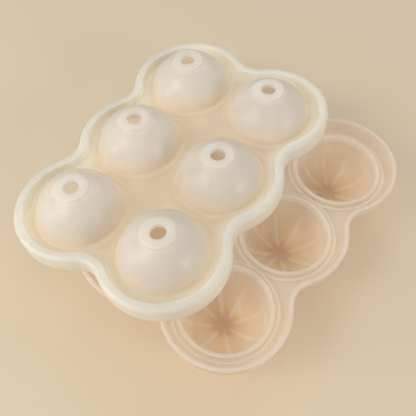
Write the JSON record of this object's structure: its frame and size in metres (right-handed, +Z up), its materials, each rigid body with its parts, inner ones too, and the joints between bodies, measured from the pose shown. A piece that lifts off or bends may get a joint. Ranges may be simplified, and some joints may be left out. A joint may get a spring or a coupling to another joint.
{
  "type": "ice ball mold",
  "caption": "Two-piece silicone ice ball mold: a tray of ribbed hemisphere cups with a lid of fill-holed domes laid part-way across it.",
  "frame": {"origin": "centre of the bounding box of both pieces, on the surface that the tray's feet stand on", "axes": "+Y along the three-cavity length of the tray, +X across it from the side under the lid to the open side, +Z up"},
  "size_m": [0.1739, 0.1852, 0.0631],
  "materials": {
    "tray_silicone": "translucent moulded silicone, satin with a soft sheen",
    "lid_silicone": "milky translucent moulded silicone, satin with a soft sheen"
  },
  "bodies": {
    "root": {"base_tray": "tray_silicone", "lid": "lid_silicone"}
  },
  "joints": []
}
